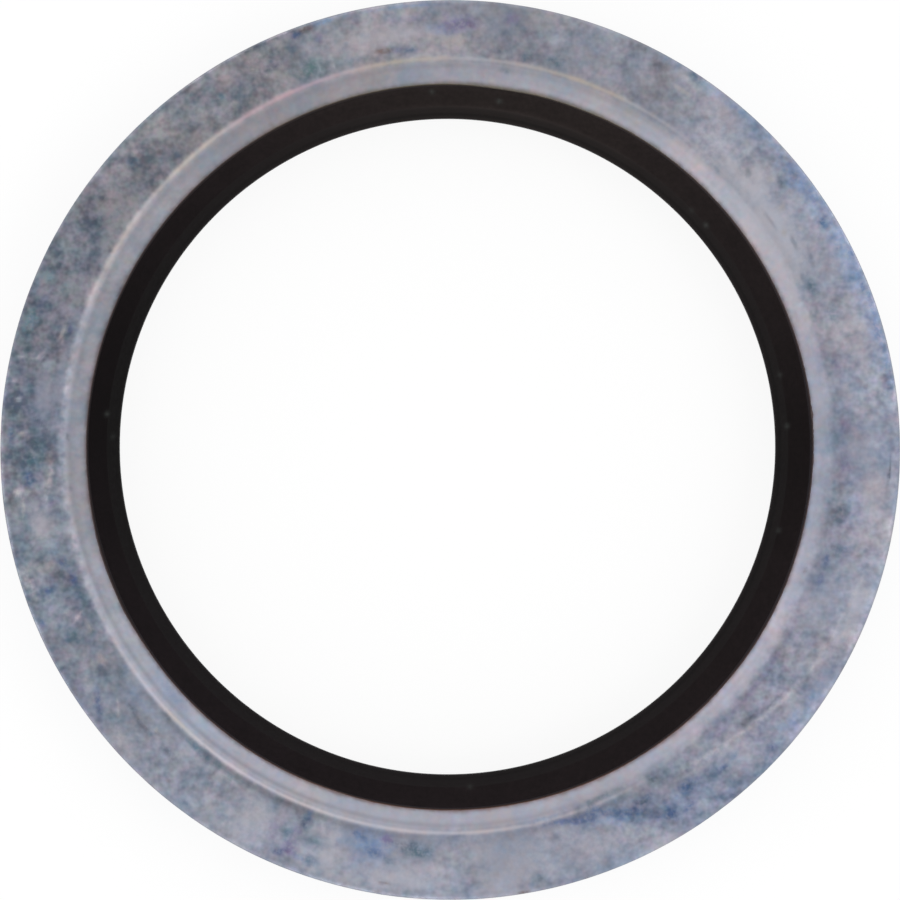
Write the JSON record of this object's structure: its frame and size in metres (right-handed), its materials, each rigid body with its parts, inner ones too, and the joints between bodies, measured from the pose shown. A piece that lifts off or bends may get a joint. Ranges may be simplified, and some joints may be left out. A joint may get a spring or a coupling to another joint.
{
  "type": "bonded sealing washer",
  "caption": "Flat zinc-plated steel washer with a black rubber sealing ring moulded into its bore; the ring's lip stands proud of both faces.",
  "frame": {"origin": "on the axis of the rubber bore, halfway through the thickness", "axes": "+Z along the bore axis, out of the face with the rolled outer edge; +X to the right with +Z towards the viewer and +Y up"},
  "size_m": [0.0238, 0.0238, 0.0026],
  "materials": {
    "zinc_plated_steel": "dull mottled zinc plate with a faint blue passivate",
    "black_rubber": "matte moulded black rubber"
  },
  "bodies": {
    "root": {"steel_washer": "zinc_plated_steel", "rubber_seal": "black_rubber"}
  },
  "joints": []
}
